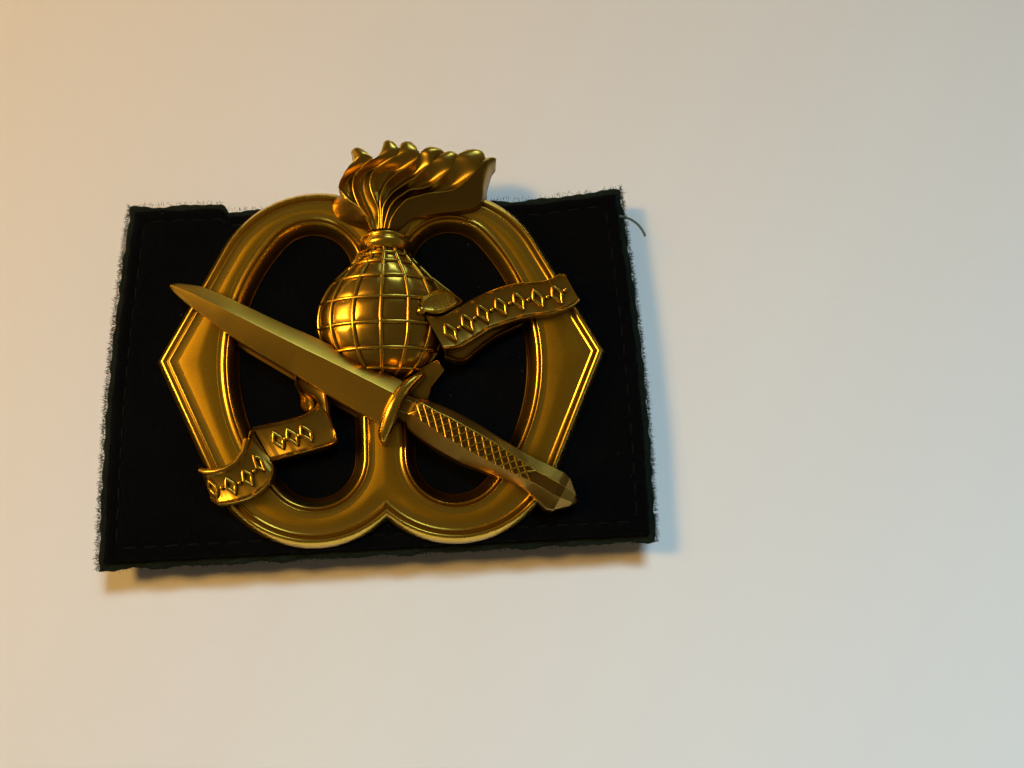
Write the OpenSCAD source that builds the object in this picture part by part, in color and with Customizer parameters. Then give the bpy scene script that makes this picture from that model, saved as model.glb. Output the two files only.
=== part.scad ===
// Pierced cap badge on a cloth patch, held by two wire loops and a split pin.
// Millimetres. Origin: middle of the badge on the back face of the cloth. +Z faces the viewer, +Y is the badge's top.

/* [Badge] */
// Width of the frame from side point to side point
badge_w = 45; // [28:0.5:60]
// Thickness of the struck brass sheet
sheet_t = 0.7; // [0.4:0.05:1]
// Height of the frame's raised lines above the cloth
frame_h = 1.8; // [1.2:0.1:3]
// Height of the frame's flat band between the lines
band_h = 1.55; // [1:0.05:2.6]
// Height of the grenade's ball above the cloth
ball_h = 5.3; // [3:0.1:8]
// Height of the blade's middle ridge above the cloth
blade_h = 4.3; // [2.5:0.1:7]
// Height of the dagger's grip above the cloth
grip_h = 4.6; // [3:0.1:7]
// Height of the flames above the cloth
flame_h = 3.3; // [2.2:0.1:6]
// Height of the ribbons above the cloth
ribbon_h = 2.7; // [2:0.1:5]

/* [Fixing loops] */
// Wire diameter of the loops soldered to the back
loop_wire_d = 1.2; // [0.8:0.05:2]
// Distance between the two legs of a loop, wire middle to wire middle
loop_leg_gap = 3.6; // [2.4:0.1:6]
// Radius of the solder around each leg
solder_r = 1.15; // [0.9:0.05:1.6]
// Height of the solder around each leg
solder_h = 0.5; // [0.3:0.05:0.7]

/* [Split pin] */
// Diameter of the two pin wires together
pin_d = 1.3; // [0.8:0.05:2]
// Clearance between pin and loop
pin_clear = 0.1; // [0.05:0.05:0.4]
// Room left between cloth and pin for the cap's own cloth
cap_gap = 2.15; // [2.05:0.05:4]
// Length of the pin past each loop
pin_tail = 3; // [1:0.5:8]
// Outer diameter of the pin's eye
eye_d = 4.2; // [3:0.1:7]
// Gap between the two half-round wires
pin_split = 0.12; // [0.05:0.01:0.3]
// How much shorter one wire is than the other
pin_step = 0.8; // [0:0.1:3]

/* [Cloth patch] */
// Thickness of the black felt
felt_t = 1.2; // [0.6:0.1:2.5]
// Thickness of the green cloth under it
cloth_t = 0.9; // [0.4:0.1:2]
// How far the green cloth shows past the felt
cloth_show = 0.6; // [0:0.1:2]
// Clearance of the cloth around each leg
leg_clear = 0.1; // [0.05:0.05:0.5]
// Cloth beyond the side point, upper left corner
over_top_left = 2.8; // [1:0.1:8]
// Cloth beyond the side point, upper right corner
over_top_right = 2.2; // [1:0.1:8]
// Cloth beyond the side point, lower left corner
over_low_left = 5.4; // [1:0.1:10]
// Cloth beyond the side point, lower right corner
over_low_right = 3.9; // [1:0.1:10]
// Cloth past the frame's lowest edge
over_bottom = 1.4; // [0:0.1:5]
// How much lower than the frame's top the cloth ends
under_top = 0.6; // [0:0.1:4]

/* [Sewing] */
// Thread thickness
thread_d = 0.25; // [0.15:0.05:0.6]
// Length of one stitch
stitch_len = 1.2; // [0.6:0.1:3]
// Distance from one stitch to the next
stitch_pitch = 2; // [1:0.1:5]
// Distance of the seam from the felt's edge
seam_in = 1.3; // [0.8:0.1:3]
// Width of the dent that the seam draws in the felt
dent_w = 0.6; // [0.3:0.05:1.5]
// Depth of that dent
dent_h = 0.2; // [0.15:0.01:0.4]
// Radius of the loose thread end's curve
tail_r = 3; // [1.5:0.5:6]
// Sweep of the loose thread end's curve, in degrees
tail_angle = 75; // [30:5:120]
// Distance of the loose thread end below the upper right corner
tail_drop = 2.4; // [1:0.1:8]

/* [Hidden] */
$fn = 64;

art = badge_w / 45;            // drawing scale of the struck design
eps = 0.01;
cut = 1;                       // how far a cut runs past the surface it opens

// heights of the stack
felt_z = cloth_t;
shell_z = cloth_t + felt_t;

// frame: upper and lower lobe circles and the side point, right half
tip = [badge_w / 2, 0];
lobe_up = [6.3, 6.0] * art;
lobe_up_r = 11.2 * art;
lobe_low = [7.0, -7.9] * art;
lobe_low_r = 11.0 * art;
frame_top = lobe_up[1] + lobe_up_r;
frame_low = lobe_low[1] - lobe_low_r;

// frame: openings, right half
hole_up = [6.9, 8.9] * art;
hole_low = [6.9, -10.1] * art;
hole_r = 3.85 * art;
hole_side = [-3.64, -0.6] * art;
hole_side_r = 18.04 * art;

// frame: rim section as [distance in from the edge, height]
rim = [[0, 0], [0.15, 0.45 * frame_h], [0.6, 0.8 * frame_h], [1.3, frame_h], [1.6, frame_h],
       [1.95, band_h - 0.05], [1.95, band_h - sheet_t], [1.05, band_h - sheet_t],
       [sheet_t + 0.05, 0.3], [sheet_t, 0]];
band_in = 1.8;                 // where the flat band starts, inside the rim section
arc_n = 12;

// dagger: own frame, u along from tip to pommel, v across
dagger_at = [-1.2, -3.85] * art;
dagger_turn = -29.3;
// [u, half width]
blade_st = [[-21.9, 0.2], [-20.6, 0.8], [-18.4, 1.25], [-15.4, 1.65], [-10, 2.15], [-5, 2.4], [2.6, 2.4]];
blade_edge = 0.45 * blade_h;
guard_c = 7.8;
guard_r = 5.8;
guard_in = [9.2, 5.7];         // middle and radius of the crescent's inner curve
guard_w = 4.5;                 // half width across
// grip outline as [u, radius]
grip_st = [[2.6, 1.7], [5, 2], [9, 2.1], [13, 1.85], [17, 1.45], [19.2, 1.7], [20.6, 2.1], [21.6, 1.8], [22.6, 0.7]];
grip_z = grip_h - 2.1 * art;

// grenade
ball_at = [-0.1, 3.6] * art;
ball_r = 6.6 * art;
neck_at = [0.1, 8.2] * art;
neck_len = 3 * art;
neck_turn = -3;
neck_r = [3.3 * art, 2.35 * art];
collar_r = 2.75 * art;
collar_w = 0.8 * art;
neck_z = 1.5 * art;
web = [[3.6, -0.6], [5.4, -0.4], [7.4, -4.4], [5, -5.2], [2.4, -3.6]] * art;
web_h = 1.1;

// flames: low body, then tongues as [left edge, right edge, height share]
flame_body = [[-1.3, 12.2], [2.2, 12.2], [3.4, 13.7], [7.2, 14.5], [10.2, 15.6], [10.9, 17.6], [8.5, 18.6],
              [5, 18.9], [1.5, 19.1], [-1.5, 19], [-4, 17.6], [-4.7, 15.9], [-3.7, 14.1]] * art;
flame_core = [[-0.4, 13], [2, 13.2], [3.6, 14.8], [9.2, 16.2], [9.4, 17.3], [4.8, 18], [-1.4, 18], [-3.4, 15.9]] * art;
tongues = [
    [[[-2.6, 13], [-4.8, 15.2], [-5, 17], [-4.1, 18.9]], [[-0.6, 13.4], [-2.4, 15.4], [-2.7, 17.2], [-3.9, 18.9]], 0.8],
    [[[-1.6, 13], [-2.9, 15.5], [-3.4, 18.4], [-2.3, 21.1]], [[0.6, 13.2], [-0.3, 15.6], [-0.9, 18], [-2.1, 21.1]], 1],
    [[[-0.5, 13], [-0.9, 16], [-0.9, 19], [0.8, 21.8]], [[1, 13], [1.2, 16], [1.2, 18.6], [1, 21.8]], 0.92],
    [[[0.2, 12.9], [0.9, 16], [1.6, 19], [2.6, 21.6]], [[1.7, 12.9], [2.9, 15.8], [3.6, 18.4], [2.8, 21.6]], 1],
    [[[1, 12.9], [2.6, 15.6], [4.2, 18.6], [5.9, 20.9]], [[2.4, 13], [4.6, 15.2], [6, 17.6], [6.1, 20.8]], 0.95],
    [[[1.4, 13], [4, 15], [6.2, 17.2], [8.1, 20.4]], [[2.8, 13.3], [6, 14.8], [8.4, 16.6], [8.3, 20.3]], 0.9],
    [[[1.8, 13.3], [5.2, 15], [8, 16.8], [11.9, 19.8]], [[3, 13.5], [6.8, 14.5], [10.4, 15.7], [12.1, 19.7]], 1]];

// ribbons as outlines on plan
ribbon_right = [[5.2, 3.3], [6.1, -0.1], [9.7, 1.3], [13.7, 3], [17.8, 3.9], [20, 5], [18.4, 8.4], [15.9, 7],
                [11.8, 6.2], [8.4, 4.5]] * art;
ribbon_fold = [[3.4, 3.8], [5.6, 3], [8.4, 4.6], [8, 5.3], [5.9, 6.8]] * art;
ribbon_under = [[6, -0.9], [8.2, -0.9], [11, 1], [14.4, 2.9], [13.6, 3.4], [9.4, 1.6], [6, 0.4]] * art;
ribbon_left = [[-13.2, -7], [-10.7, -11.6], [-10.4, -10.2], [-8.2, -9.7], [-4.4, -8.7], [-5.7, -6.4],
               [-8.2, -6.2]] * art;
ribbon_loop = [[-9.4, -6.3], [-7.4, -6.6], [-5.8, -5.4], [-6, -3.9], [-7.6, -2.6], [-9.2, -1.6], [-9.3, -3],
               [-8, -3.8], [-7.2, -4.6], [-7.9, -5.4]] * art;
ribbon_wrap = [[-18.8, -10.1], [-17.1, -14.2], [-14, -14.7], [-11.6, -13.5], [-10.4, -11.7], [-13.2, -6.8],
               [-13.8, -9.2], [-15.9, -10.7]] * art;
fold_h = 0.4;                  // how much a folded layer stands above the next

// fixing loops: middle of the frame's side band, legs up to its underside
tip_in = 0.85;                 // the side point narrows the band, so the loops sit this much further in
loop_x = (hole_side[0] + hole_side_r + badge_w / 2) / 2 - tip_in;
leg_top = shell_z + band_h - sheet_t;
pin_z = -cap_gap - pin_d / 2;
crown_z = pin_z - pin_d / 2 - pin_clear - loop_wire_d / 2 + loop_leg_gap / 2;
leg_hole_r = loop_wire_d / 2 + leg_clear;

// split pin
eye_w = pin_d / 2;
pin_end = loop_x + loop_wire_d / 2 + pin_tail;

// cloth outlines, anticlockwise from the lower left
hw = badge_w / 2;
cloth_pts = [[-hw - over_low_left, frame_low - over_bottom], [hw + over_low_right, frame_low - over_bottom + 1],
             [hw + over_top_right, frame_top - under_top + 0.4], [-hw - over_top_left, frame_top - under_top - 0.5]];
felt_pts = inset(cloth_pts, cloth_show);
seam_pts = inset(felt_pts, seam_in);

function unit(v) = v / norm(v);
function left_of(v) = [-v[1], v[0]];
// moves each side of an anticlockwise outline inwards by d
function inset(p, d) = [for (i = [0:len(p) - 1])
    let (n = len(p), a = left_of(unit(p[i] - p[(i + n - 1) % n])), b = left_of(unit(p[(i + 1) % n] - p[i])))
    p[i] + d * (a + b) / (1 + a * b)];
function arc(c, r, a0, a1) = [for (i = [0:arc_n]) c + r * [cos(a0 + (a1 - a0) * i / arc_n), sin(a0 + (a1 - a0) * i / arc_n)]];
// angle of the line from the side point that just touches a lobe circle, as the direction square to it
function touch(c, r, s) = let (v = tip - c) atan2(v[1], v[0]) + s * acos(r / norm(v));
function backwards(p) = [for (i = [len(p) - 1:-1:0]) p[i]];
function mirrored(p) = [for (q = backwards(p)) [-q[0], q[1]]];

touch_low = touch(lobe_low, lobe_low_r, -1);
touch_up = touch(lobe_up, lobe_up_r, 1);
// the frame's right half moved in by d, from the lower notch round the side point to the upper notch
function half_edge(d) =
    let (n1 = [cos(touch_low), sin(touch_low)], n2 = [cos(touch_up), sin(touch_up)],
         rl = lobe_low_r - d, ru = lobe_up_r - d)
    concat(arc(lobe_low, rl, -180 + acos(lobe_low[0] / rl), touch_low),
           [tip - d * (n1 + n2) / (1 + n1 * n2)],
           arc(lobe_up, ru, touch_up, 180 - acos(lobe_up[0] / ru)));
function drop_ends(p) = [for (i = [1:len(p) - 2]) p[i]];
function frame_edge(d) = let (h = half_edge(d)) concat(h, drop_ends(mirrored(h)));
// one opening moved outwards by d, right half, anticlockwise
function hole_edge(d) =
    let (lo = hole_low - hole_side, up = hole_up - hole_side)
    concat(arc(hole_low, hole_r + d, -180, atan2(lo[1], lo[0])),
           drop_ends(arc(hole_side, hole_side_r + d, atan2(lo[1], lo[0]), atan2(up[1], up[0]))),
           arc(hole_up, hole_r + d, atan2(up[1], up[0]), 180));

// closed tube with the given section along matching loops; loops[k] is the outline at section point k
module tube_along(loops, section) {
    m = len(section);
    n = len(loops[0]);
    polyhedron(points = [for (k = [0:m - 1]) for (p = loops[k]) [p[0], p[1], section[k][1]]],
        faces = [for (k = [0:m - 1]) for (i = [0:n - 1]) each
            [[k * n + i, ((k + 1) % m) * n + i, k * n + (i + 1) % n],
             [k * n + (i + 1) % n, ((k + 1) % m) * n + i, ((k + 1) % m) * n + (i + 1) % n]]]);
}

// ridge with sloping sides over a row of [left, right] points, from base up to edge height and ridge height
module ridge(l, r, base, edge, top) {
    n = len(l);
    function rib(i) = let (m = (l[i] + r[i]) / 2)
        [[l[i][0], l[i][1], base], [l[i][0], l[i][1], edge], [m[0], m[1], top[i]], [r[i][0], r[i][1], edge],
         [r[i][0], r[i][1], base]];
    polyhedron(points = [for (i = [0:n - 1]) each rib(i)],
        faces = concat([[0, 1, 2, 3, 4]], [[for (k = [4:-1:0]) (n - 1) * 5 + k]],
            [for (i = [0:n - 2]) for (k = [0:4]) let (j = (k + 1) % 5) each
                [[i * 5 + k, (i + 1) * 5 + k, i * 5 + j], [i * 5 + j, (i + 1) * 5 + k, (i + 1) * 5 + j]]]));
}

module both_sides() {
    children();
    mirror([1, 0, 0]) children();
}

// a flat raised area with its hollow back
module raised(pts, h) {
    linear_extrude(h) polygon(pts);
}

module hollow(pts, h) {
    translate([0, 0, -cut]) linear_extrude(h - sheet_t + cut) polygon(inset(pts, sheet_t));
}

module frame_body() {
    tube_along([for (s = rim) frame_edge(s[0])], rim);
    both_sides() tube_along([for (s = rim) backwards(hole_edge(s[0]))], rim);
    translate([0, 0, band_h - sheet_t]) linear_extrude(sheet_t) difference() {
        polygon(frame_edge(band_in));
        both_sides() polygon(hole_edge(band_in));
    }
}

module dagger_place() {
    translate(dagger_at) rotate(dagger_turn) scale(art) children();
}

module blade(less, low) {
    pts = [for (s = blade_st) if (s[1] > less) s];
    w = [for (s = pts) s[1] - less / art];
    ridge([for (i = [0:len(pts) - 1]) [pts[i][0], w[i]]], [for (i = [0:len(pts) - 1]) [pts[i][0], -w[i]]],
        low / art, (blade_edge - less) / art,
        [for (i = [0:len(pts) - 1]) (blade_edge - less + (blade_h - blade_edge) * min(1, w[i] / 1.4)) / art]);
}

module guard(less, low) {
    translate([0, 0, low / art]) linear_extrude((grip_h - less - low) / art) intersection() {
        difference() {
            translate([guard_c, 0]) circle(guard_r - less / art);
            translate([guard_in[0], 0]) circle(guard_in[1] + less / art);
        }
        square([2 * guard_c, 2 * (guard_w - less / art)], center = true);
    }
}

module grip(less) {
    translate([0, 0, grip_z / art]) rotate([0, 90, 0]) rotate_extrude()
        polygon(concat([[0, grip_st[0][0] + less / art]],
                       [for (s = grip_st) [max(s[1] - less / art, 0.1), min(max(s[0], grip_st[0][0] + less / art),
                           grip_st[len(grip_st) - 1][0] - less / art)]],
                       [[0, grip_st[len(grip_st) - 1][0] - less / art]]));
}

// sides run straight down to the cloth below the grip's middle
module grip_skirt(less, low) {
    translate([0, 0, low / art]) linear_extrude((grip_z - low) / art)
        polygon(concat([for (s = grip_st) [s[0], -max(s[1] - less / art, 0.1)]],
                       [for (s = backwards(grip_st)) [s[0], max(s[1] - less / art, 0.1)]]));
}

module dagger_body() {
    dagger_place() {
        blade(0, 0);
        guard(0, 0);
        grip(0);
        grip_skirt(0, 0);
    }
}

module dagger_hollow() {
    dagger_place() {
        blade(sheet_t, -cut);
        grip(sheet_t);
        grip_skirt(sheet_t, -cut);
    }
}

module neck_place() {
    translate([neck_at[0], neck_at[1], neck_z]) rotate([-90, 0, neck_turn]) children();
}

module grenade_body() {
    translate([ball_at[0], ball_at[1], ball_h - ball_r]) sphere(ball_r);
    neck_place() {
        cylinder(h = neck_len, r1 = neck_r[0], r2 = neck_r[1]);
        translate([0, 0, neck_len - collar_w]) cylinder(h = collar_w, r = collar_r);
    }
}

module grenade_hollow() {
    translate([ball_at[0], ball_at[1], ball_h - ball_r]) sphere(ball_r - sheet_t);
    neck_place() cylinder(h = neck_len - sheet_t, r1 = neck_r[0] - sheet_t, r2 = neck_r[1] - sheet_t);
}

module flames_body() {
    raised(flame_body, 0.6 * flame_h);
    for (t = tongues)
        ridge(t[0] * art, t[1] * art, 0.2, 0.6 * flame_h,
            [for (i = [0:len(t[0]) - 1]) flame_h * (0.62 + 0.38 * t[2] * (i < len(t[0]) - 1 ? 1 : 0))]);
}

module struck_shell() {
    color("DarkGoldenrod") translate([0, 0, shell_z]) intersection() {
        difference() {
            union() {
                frame_body();
                grenade_body();
                flames_body();
                raised(web, web_h);
                raised(ribbon_under, ribbon_h - 2 * fold_h);
                raised(ribbon_right, ribbon_h);
                raised(ribbon_fold, ribbon_h + fold_h);
                raised(ribbon_loop, ribbon_h - fold_h);
                raised(ribbon_left, ribbon_h);
                raised(ribbon_wrap, ribbon_h + fold_h);
                dagger_body();
            }
            grenade_hollow();
            translate([0, 0, -cut]) linear_extrude(0.6 * flame_h - sheet_t + cut) polygon(flame_core);
            hollow(ribbon_right, ribbon_h);
            hollow(ribbon_left, ribbon_h);
            hollow(ribbon_wrap, ribbon_h + fold_h);
            dagger_hollow();
        }
        translate([-badge_w, -badge_w, 0]) cube([2 * badge_w, 2 * badge_w, ball_h + cut]);
    }
}

module fixing_loop(x) {
    r = loop_wire_d / 2;
    color("Peru") translate([x, 0, 0]) {
        for (s = [-1, 1]) translate([0, s * loop_leg_gap / 2, crown_z]) cylinder(h = leg_top - crown_z, r = r);
        translate([0, 0, crown_z]) rotate([0, -90, 0]) rotate([0, 0, 90])
            rotate_extrude(angle = 180) translate([loop_leg_gap / 2, 0]) circle(r);
    }
}

module loop_left() {
    fixing_loop(-loop_x);
}

module loop_right() {
    fixing_loop(loop_x);
}

module solder(x) {
    color("Silver") for (s = [-1, 1]) translate([x, s * loop_leg_gap / 2, leg_top - solder_h]) difference() {
        cylinder(h = solder_h, r1 = loop_wire_d / 2 + 0.15, r2 = solder_r);
        translate([0, 0, -cut]) cylinder(h = solder_h + 2 * cut, r = loop_wire_d / 2 + eps);
    }
}

module solder_left() {
    solder(-loop_x);
}

module solder_right() {
    solder(loop_x);
}

module cloth_layer(pts, z, t) {
    translate([0, 0, z]) difference() {
        linear_extrude(t) polygon(pts);
        for (x = [-loop_x, loop_x]) for (s = [-1, 1])
            translate([x, s * loop_leg_gap / 2, -cut]) cylinder(h = t + 2 * cut, r = leg_hole_r);
    }
}

module felt_patch() {
    color("DarkSlateGray") difference() {
        cloth_layer(felt_pts, felt_z, felt_t);
        translate([0, 0, shell_z - dent_h]) linear_extrude(dent_h + cut) difference() {
            polygon(inset(felt_pts, seam_in - dent_w / 2));
            polygon(inset(felt_pts, seam_in + dent_w / 2));
        }
    }
}

module cloth_backing() {
    color("DarkGreen") cloth_layer(cloth_pts, 0, cloth_t);
}

module seam_stitches() {
    color("Black") for (i = [0:len(seam_pts) - 1]) {
        a = seam_pts[i];
        b = seam_pts[(i + 1) % len(seam_pts)];
        run = norm(b - a) - 2 * seam_in;
        n = floor(run / stitch_pitch);
        for (k = [0:n]) {
            p = a + (b - a) / norm(b - a) * (seam_in + k * run / n);
            translate([p[0], p[1], shell_z - dent_h]) rotate(atan2(b[1] - a[1], b[0] - a[0]))
                translate([-stitch_len / 2, -thread_d / 2, 0]) cube([stitch_len, thread_d, thread_d / 2]);
        }
    }
}

module thread_tail() {
    a = cloth_pts[2];
    b = cloth_pts[1];
    x = a[0] + (b[0] - a[0]) * tail_drop / (a[1] - b[1]);
    color("DarkGreen") translate([x - cloth_show / 2, a[1] - tail_drop - tail_r, cloth_t + thread_d / 2])
        rotate(90 - tail_angle) rotate_extrude(angle = tail_angle) translate([tail_r, 0]) circle(thread_d / 2, $fn = 16);
}

module split_pin() {
    color("Goldenrod") translate([0, 0, pin_z]) {
        difference() {
            translate([-pin_end, 0, 0]) rotate([0, 90, 0]) cylinder(h = 2 * pin_end + eye_w, r = pin_d / 2);
            translate([-pin_end - cut, -pin_split / 2, -pin_d]) cube([2 * pin_end, pin_split, 2 * pin_d]);
            translate([-pin_end - cut, 0, -pin_d]) cube([pin_step + cut, pin_d, 2 * pin_d]);
        }
        translate([pin_end + eye_d / 2, 0, 0])
            rotate_extrude() translate([eye_d / 2 - eye_w, 0]) circle(eye_w - 0.05, $fn = 32);
    }
}

struck_shell();
loop_left();
loop_right();
solder_left();
solder_right();
felt_patch();
cloth_backing();
seam_stitches();
thread_tail();
split_pin();
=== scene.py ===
import math
import random

import bmesh
import bpy
from mathutils import Matrix, Vector


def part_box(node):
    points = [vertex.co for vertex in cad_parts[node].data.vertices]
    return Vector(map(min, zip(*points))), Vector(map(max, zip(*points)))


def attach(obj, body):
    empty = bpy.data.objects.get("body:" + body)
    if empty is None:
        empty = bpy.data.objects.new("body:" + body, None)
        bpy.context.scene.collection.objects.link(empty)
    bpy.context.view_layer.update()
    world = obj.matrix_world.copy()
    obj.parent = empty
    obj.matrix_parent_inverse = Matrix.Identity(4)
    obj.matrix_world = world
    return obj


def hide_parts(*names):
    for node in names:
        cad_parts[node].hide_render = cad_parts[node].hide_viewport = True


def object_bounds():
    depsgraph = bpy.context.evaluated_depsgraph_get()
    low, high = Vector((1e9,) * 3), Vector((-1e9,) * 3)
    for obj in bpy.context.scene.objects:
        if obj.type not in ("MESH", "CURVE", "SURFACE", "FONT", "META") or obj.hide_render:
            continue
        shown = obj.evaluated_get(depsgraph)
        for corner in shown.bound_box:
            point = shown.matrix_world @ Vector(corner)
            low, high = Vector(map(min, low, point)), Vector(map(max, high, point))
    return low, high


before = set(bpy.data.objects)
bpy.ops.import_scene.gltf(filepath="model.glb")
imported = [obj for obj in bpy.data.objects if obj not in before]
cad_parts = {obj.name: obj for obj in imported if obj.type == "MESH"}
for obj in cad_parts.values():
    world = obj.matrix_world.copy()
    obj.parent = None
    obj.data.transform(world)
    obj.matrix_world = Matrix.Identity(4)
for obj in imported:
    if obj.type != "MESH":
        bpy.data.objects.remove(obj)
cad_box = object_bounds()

# Lengths are written in millimetres and turned into metres when a piece is finished.
MM = 0.001
FELT_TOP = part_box("struck_shell")[0].z / MM     # the badge's back stands on the felt
FELT_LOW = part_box("felt_patch")[0].z / MM       # the felt lies on the green cloth
LOWEST = cad_box[0].z / MM                      # the loops behind the patch reach down to here
WELD = 0.0004                                   # points closer than this become one

scene = bpy.context.scene


# ---------------------------------------------------------------- lines on plan

def unit(v):
    return v.normalized()


def direction(degrees):
    return Vector((math.cos(math.radians(degrees)), math.sin(math.radians(degrees))))


def bearing(v):
    return math.degrees(math.atan2(v.y, v.x))


def arc(centre, radius, start, end, steps=48):
    return [centre + radius * direction(start + (end - start) * k / steps) for k in range(steps + 1)]


def smooth_line(points, steps=6, ring=False):
    """Rounded line through the given points, steps to each stretch."""
    pts = [Vector(p) for p in points]
    count, line = len(pts), []
    for i in range(count if ring else count - 1):
        a, b, c, d = (pts[j % count] if ring else pts[min(max(j, 0), count - 1)] for j in (i - 1, i, i + 1, i + 2))
        for k in range(steps):
            t = k / steps
            square, cube = 2 * a - 5 * b + 4 * c - d, 3 * b - a - 3 * c + d
            line.append(0.5 * (2 * b + (c - a) * t + square * t * t + cube * t ** 3))
    return line if ring else line + [pts[-1]]


def evenly(points, count):
    """The same line, with count points at equal distances."""
    run = [0.0]
    for a, b in zip(points, points[1:]):
        run.append(run[-1] + (b - a).length)
    line, j = [], 0
    for k in range(count):
        s = run[-1] * k / (count - 1)
        while j < len(run) - 2 and run[j + 1] < s:
            j += 1
        span = run[j + 1] - run[j]
        line.append(points[j].lerp(points[j + 1], (s - run[j]) / span if span else 0))
    return line


def read_off(table, at, column):
    """Value in a table whose rows start with a rising position."""
    if at <= table[0][0]:
        return table[0][column]
    for a, b in zip(table, table[1:]):
        if at <= b[0]:
            t = (at - a[0]) / (b[0] - a[0])
            return a[column] + (b[column] - a[column]) * t
    return table[-1][column]


def inset_line(points, depth):
    """Moves each side of an anticlockwise outline inwards."""
    moved, count = [], len(points)
    for i, p in enumerate(points):
        a, b = unit(p - points[i - 1]), unit(points[(i + 1) % count] - p)
        a, b = Vector((-a.y, a.x)), Vector((-b.y, b.x))
        moved.append(p + depth * (a + b) / (1 + a.dot(b)))
    return moved


# ---------------------------------------------------------------- mesh making

def loft(bm, rows, ring=True, capped=True):
    """Skin through rows of points. A ring's rows are closed lines, and its two open ends are capped."""
    line = [bm.verts.new(p) for p in rows[0]]
    pairs = list(zip(line, line[1:])) + ([(line[-1], line[0])] if ring else [])
    edges = [bm.edges.new(pair) for pair in pairs]
    first = list(edges)
    for row in rows[1:]:
        made = bmesh.ops.extrude_edge_only(bm, edges=edges)["geom"]
        fresh = {v for v in made if isinstance(v, bmesh.types.BMVert)}
        step = [next(e.other_vert(v) for e in v.link_edges if e.other_vert(v) in fresh) for v in line]
        for v, p in zip(step, row):
            v.co = p
        edges = [e for e in made if isinstance(e, bmesh.types.BMEdge) and set(e.verts) <= fresh]
        line = step
    if ring and capped:
        bmesh.ops.contextual_create(bm, geom=first)
        bmesh.ops.contextual_create(bm, geom=edges)


def tube(bm, path, radius, sides=8):
    """Round bar along a path of points. radius is one number or one for each point."""
    path = [Vector(p) for p in path]
    radii = radius if hasattr(radius, "__len__") else [radius] * len(path)
    up, rows = Vector((0, 0, 1)), []
    for i, p in enumerate(path):
        ahead = unit(path[min(i + 1, len(path) - 1)] - path[max(i - 1, 0)])
        if abs(ahead.z) > 0.95:
            up = Vector((0.3, 1, 0)).normalized()
        side = unit(ahead.cross(up))
        over = unit(side.cross(ahead))
        rows.append([p + radii[i] * (side * math.cos(a) + over * math.sin(a))
                     for a in (2 * math.pi * k / sides for k in range(sides))])
    loft(bm, rows)


def plate(bm, outline, top, foot, edge=0.15):
    """Flat raised area with a rounded upper edge."""
    verts = [bm.verts.new((p[0], p[1], foot)) for p in outline]
    edges = [bm.edges.new((a, b)) for a, b in zip(verts, verts[1:] + verts[:1])]
    base = bmesh.ops.contextual_create(bm, geom=edges)["faces"]
    made = bmesh.ops.extrude_face_region(bm, geom=base, use_keep_orig=True)["geom"]
    lifted = [g for g in made if isinstance(g, bmesh.types.BMVert)]
    bmesh.ops.translate(bm, verts=lifted, vec=(0, 0, top - foot))
    rim = [g for g in made if isinstance(g, bmesh.types.BMEdge)]
    bmesh.ops.bevel(bm, geom=rim, offset=edge, segments=3, profile=0.5, affect="EDGES", material=-1)


def finish_piece(name, bm, finish, body, lift=FELT_TOP, crease=38):
    """Turns the mesh in hand into a piece in metres that rides on a body.

    An edge stays sharp where its faces meet at more than crease degrees.
    """
    bmesh.ops.remove_doubles(bm, verts=bm.verts, dist=WELD)
    bmesh.ops.recalc_face_normals(bm, faces=bm.faces)
    bmesh.ops.translate(bm, verts=bm.verts, vec=(0, 0, lift))
    bmesh.ops.scale(bm, verts=bm.verts, vec=(MM, MM, MM))
    for face in bm.faces:
        face.smooth = True
    for edge in bm.edges:
        edge.smooth = len(edge.link_faces) == 2 and edge.calc_face_angle(0) < math.radians(crease)
    mesh = bpy.data.meshes.new(name)
    bm.to_mesh(mesh)
    bm.free()
    mesh.materials.append(finish)
    piece = bpy.data.objects.new(name, mesh)
    scene.collection.objects.link(piece)
    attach(piece, body)
    return piece


def brass_piece(name, bm, finish, crease=38):
    """A part of the struck badge."""
    return finish_piece(name, bm, finish, "badge", crease=crease)


# ---------------------------------------------------------------- finishes

class Value:
    """One output of a shader node, for use in sums."""

    def __init__(self, finish, socket):
        self.finish, self.socket = finish, socket

    def maths(self, operation, *others, swap=False):
        terms = [*others, self] if swap else [self, *others]
        return self.finish.node("ShaderNodeMath", {"operation": operation}, dict(enumerate(terms)))

    def __add__(self, other):
        return self.maths("ADD", other)

    def __mul__(self, other):
        return self.maths("MULTIPLY", other)

    def __rsub__(self, other):
        return self.maths("SUBTRACT", other, swap=True)

    __radd__, __rmul__ = __add__, __mul__

    def between(self, low, high):
        """0 at low and 1 at high, whichever of the two is larger."""
        return self.finish.node("ShaderNodeMapRange", {"clamp": True},
                                {"Value": self, "From Min": low, "From Max": high}, "Result")


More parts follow.
